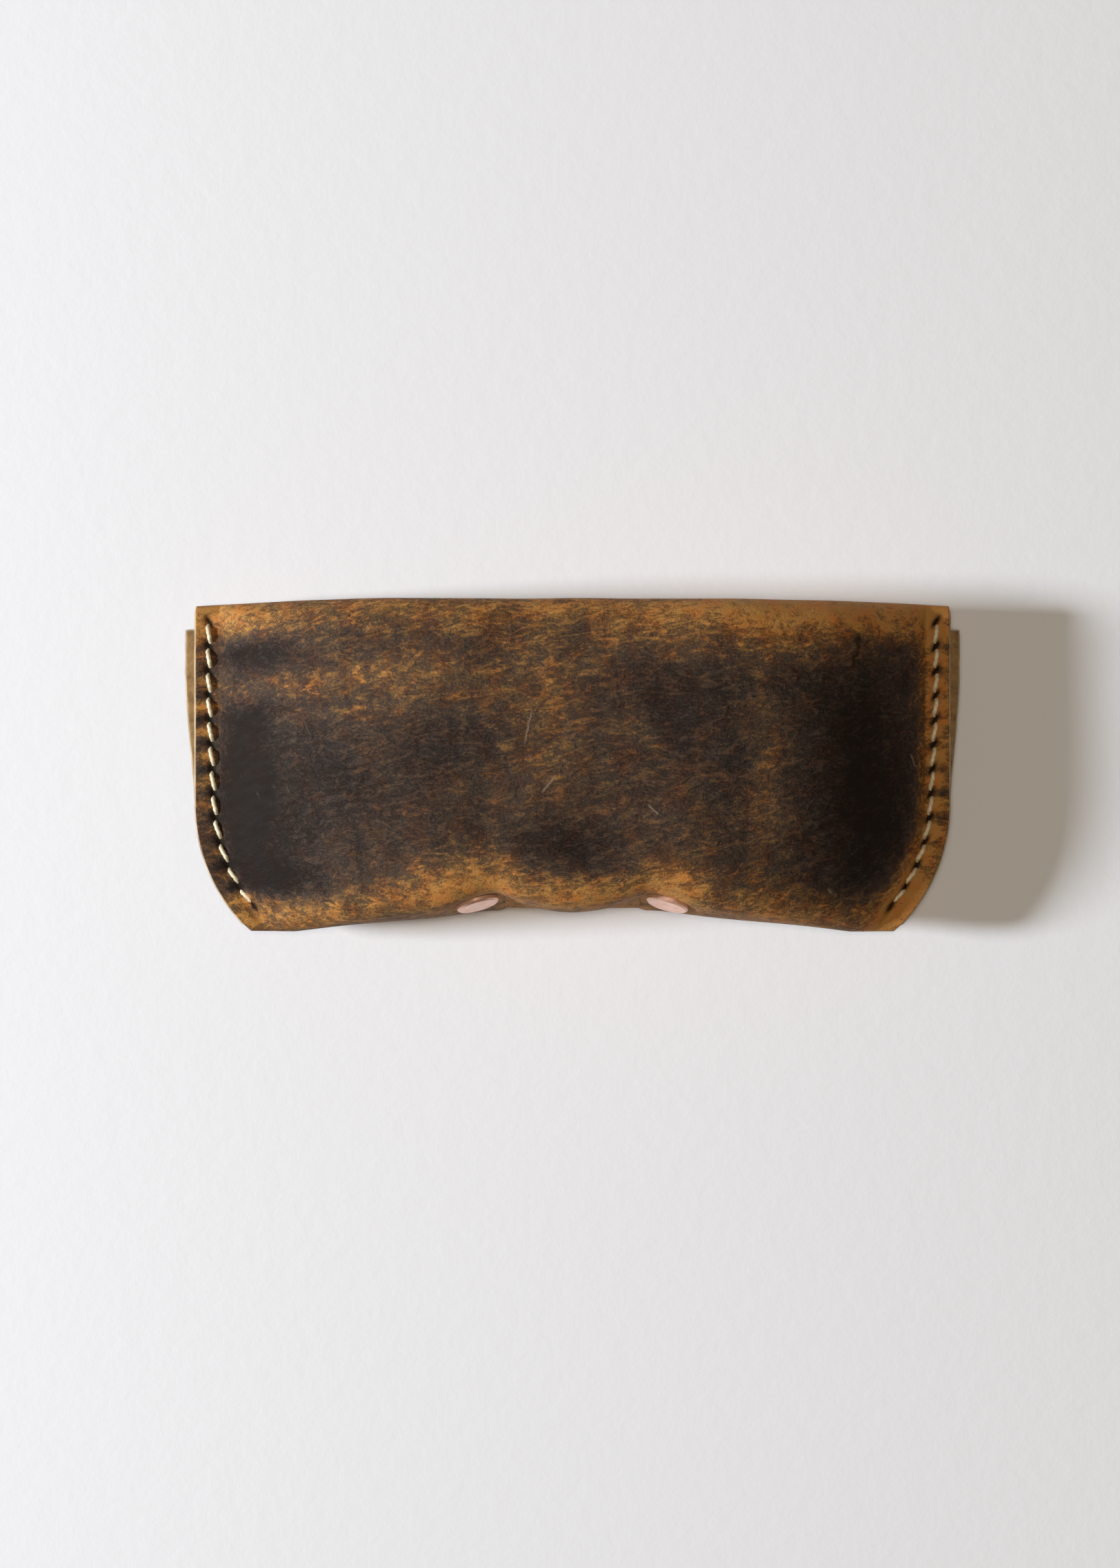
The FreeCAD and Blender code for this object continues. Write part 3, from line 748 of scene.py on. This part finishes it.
def flap_rows(s):
    """Rows of the flap from the fold to the tip of the tongue, with the half width of each."""
    rows = []
    widths = []
    key = pouch_section(s)
    low = flap_low(s * HALF)
    radius = np.minimum(CORNER + 2.5 * MM, (SEAM_Z - low) * 0.8)
    fold = key["fold"]
    rows.append((fold, key["split"]))
    rows += line_rows(12, rows[0], (fold, low + radius))
    rows += arc_rows(10, 0 * s, 0 * s - math.pi / 2, fold - radius, low + radius, radius)
    widths += [HALF + 0 * s] * len(rows)
    end = HINGE.y - math.sqrt((TONGUE_R - TONGUE_CORNER) ** 2 - (LEATHER + TONGUE_CORNER - SEAM_Z) ** 2)
    start = fold - radius
    for along in np.linspace(0, 1, 61)[1:]:
        y = start + (end - start) * along
        half = flap_half(y)
        rows.append((y, flap_low(s * half)))
        widths.append(half)
    centre_z = LEATHER + TONGUE_CORNER
    turn = math.asin((centre_z - SEAM_Z) / (TONGUE_R - TONGUE_CORNER))
    outer = TONGUE_CORNER + LEATHER
    corner_start = 1.5 * math.pi + 0 * s
    corner_end = math.pi - turn + 0 * s
    rows += arc_rows(12, corner_start, corner_end, end + 0 * s, centre_z, outer)
    tip_turn = math.asin((TIP_Z - SEAM_Z) / TONGUE_R)
    tip_end = math.pi - tip_turn + 0 * s
    straight_to = len(widths) + 15
    rows += arc_rows(24, corner_end, tip_end, HINGE.y, SEAM_Z, TONGUE_R + LEATHER)
    for index in range(len(widths), len(rows)):
        left = np.clip(TIP_Z - rows[index][1][0], 0, TIP_R)
        round_off = 0
        if index >= straight_to:
            round_off = TIP_R - math.sqrt(max(TIP_R ** 2 - (TIP_R - left) ** 2, 0))
        widths.append(TONGUE_HALF - round_off + 0 * s)
    sheets = [np.stack([s * w, y + 0 * s, z + 0 * s], axis=1) for w, (y, z) in zip(widths, rows)]
    return np.array(sheets)


def shape_flap(points):
    """Bend the tongue's sides in like the wall by the slot, and swell it outward below the slot."""
    x, y, z = points[..., 0].copy(), points[..., 1].copy(), points[..., 2].copy()
    upright = (y < -18 * MM) * 1.0
    arch = SLOT_PULL * 0.42 * (np.abs(x) / SLOT_HALF) ** 1.9 * smooth(z, 13 * MM, 22 * MM)
    points[..., 1] += upright * arch
    points[..., 1] -= upright * 0.9 * MM * bell(z - 16 * MM, 5 * MM)
    return points


def flap():
    """The flap's hide with its tongue, turning down from the fold."""
    shares = np.linspace(-1, 1, 141)
    points = shape_flap(flap_rows(shares))
    piece = hide_mesh("flap_hide", points)
    at = vertices(piece)
    level = tan_and_painted_light_level(at) + 0.20 * bell(at[:, 0], 16 * MM) * smooth(-at[:, 1], 12 * MM, 26 * MM)
    paint(piece, "tan_and_painted_light", level)
    paint(piece, "hole", 0 * level)
    dress(piece, "grain", "flesh", "edge")
    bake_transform(piece)
    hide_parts("flap_leather")


# ------------------------------------------------------------------ stitching

def tube(build, path, radius):
    """A round thread along a list of points, closed at both ends."""
    sides = 8
    rings = []
    for index, point in enumerate(path):
        ahead = path[min(index + 1, len(path) - 1)] - path[max(index - 1, 0)]
        ahead.normalize()
        aside = Vector((0, 0, 1)) if abs(ahead.z) < 0.9 else Vector((1, 0, 0))
        across = ahead.cross(aside).normalized()
        above = across.cross(ahead)
        end = 0.55 if index in (0, len(path) - 1) else 1.0
        ring = []
        for step in range(sides):
            angle = 2 * math.pi * step / sides
            twist = 1 + 0.12 * math.cos(2 * (angle - index * 0.9))
            out = across * math.cos(angle) + above * math.sin(angle)
            ring.append(build.verts.new(point + out * radius * end * twist))
        rings.append(ring)
    for first, second in zip(rings, rings[1:]):
        for step in range(sides):
            after = (step + 1) % sides
            build.faces.new([first[step], first[after], second[after], second[step]])
    build.faces.new(list(reversed(rings[0])))
    build.faces.new(rings[-1])


def thread(name, side):
    """Saddle stitching: a stitch between each two holes, on both faces, and a loop in each hole."""
    build = bmesh.new()
    places = stitch_places(side)
    faces = {1: SEAM_Z + 2.05 * MM, -1: SEAM_Z - 2.05 * MM}
    for up, z in faces.items():
        for first, second in zip(places, places[1:]):
            along = (second - first).normalized()
            aside = Vector((-along.y, along.x, 0)) * side * 0.35 * MM
            path = []
            for share in np.linspace(0.02, 0.98, 17):
                lift = min(3.3 * math.sin(math.pi * share) - 2.35, 0.5) * MM
                point = first.lerp(second, float(share)) + aside * math.cos(math.pi * share)
                point.z = z + up * lift
                path.append(point)
            tube(build, path, THREAD_R)
    for place in places:
        low = Vector((place.x, place.y, faces[-1] + 1.2 * MM))
        high = Vector((place.x, place.y, faces[1] - 1.2 * MM))
        tube(build, [low.lerp(high, share) for share in (0, 0.33, 0.66, 1)], THREAD_R)
    mesh = bpy.data.meshes.new(name)
    build.to_mesh(mesh)
    build.free()
    for face in mesh.polygons:
        face.use_smooth = True
    piece = link(name, mesh)
    dress(piece, "thread")
    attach(piece, "pouch")
    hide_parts("thread_" + name.rsplit("_", 1)[1])


# ------------------------------------------------------------------ light, floor and camera

def floor():
    """The pale table that the case lies on."""
    build = bmesh.new()
    bmesh.ops.create_grid(build, x_segments=2, y_segments=2, size=3.0)
    mesh = bpy.data.meshes.new("floor")
    build.to_mesh(mesh)
    build.free()
    piece = link("floor", mesh)
    material, tree, shader = blank("pale_floor", (0.79, 0.805, 0.855), 0.9)
    plaster = noise_of(tree, 190, 5, 0.65)
    feed(tree, shader.inputs["Normal"], bump_of(tree, plaster, 0.12, 0.0008))
    mesh.materials.append(material)


def area_light(name, place, aim, size, power, color):
    """A round lamp at a place, turned towards aim."""
    data = bpy.data.lights.new(name, "AREA")
    data.shape = "DISK"
    data.size = size
    data.energy = power
    data.color = color
    lamp = bpy.data.objects.new(name, data)
    bpy.context.scene.collection.objects.link(lamp)
    lamp.location = place
    lamp.rotation_euler = (Vector(aim) - Vector(place)).to_track_quat("-Z", "Y").to_euler()


def lights():
    """A cool lamp from the left, a weaker warm one from above and a dim warm world."""
    area_light("key", (-1.60, -0.02, 0.83), (0, 0, 0.01), 0.30, 46, (0.92, 0.96, 1.0))
    area_light("fill", (-0.05, 0.02, 1.9), (0, 0, 0), 0.35, 12.5, (1.0, 0.85, 0.66))
    world = bpy.data.worlds.new("studio")
    world.use_nodes = True
    world.node_tree.nodes["Background"].inputs["Color"].default_value = (1.0, 0.86, 0.68, 1)
    world.node_tree.nodes["Background"].inputs["Strength"].default_value = 0.05
    bpy.context.scene.world = world
    bpy.context.scene.view_settings.view_transform = "Standard"


def camera():
    """Straight above the pouch, a little left of and below its middle."""
    height = 0.90
    frame_height = 0.3525
    data = bpy.data.cameras.new("camera")
    data.sensor_fit = "VERTICAL"
    data.sensor_height = 36
    data.lens = 36 * (height - SEAM_Z) / frame_height
    lens = bpy.data.objects.new("camera", data)
    bpy.context.scene.collection.objects.link(lens)
    lens.location = (-2.8 * MM, -4.0 * MM, height)
    lens.rotation_euler = (0, 0, 0)
    bpy.context.scene.camera = lens


pouch()
flap()
thread("stitching_left", -1)
thread("stitching_right", 1)
for hardware in ("rivet_left", "rivet_right", "burr_left", "burr_right"):
    dress(frame["nodes"][hardware], "copper")
floor()
lights()
camera()
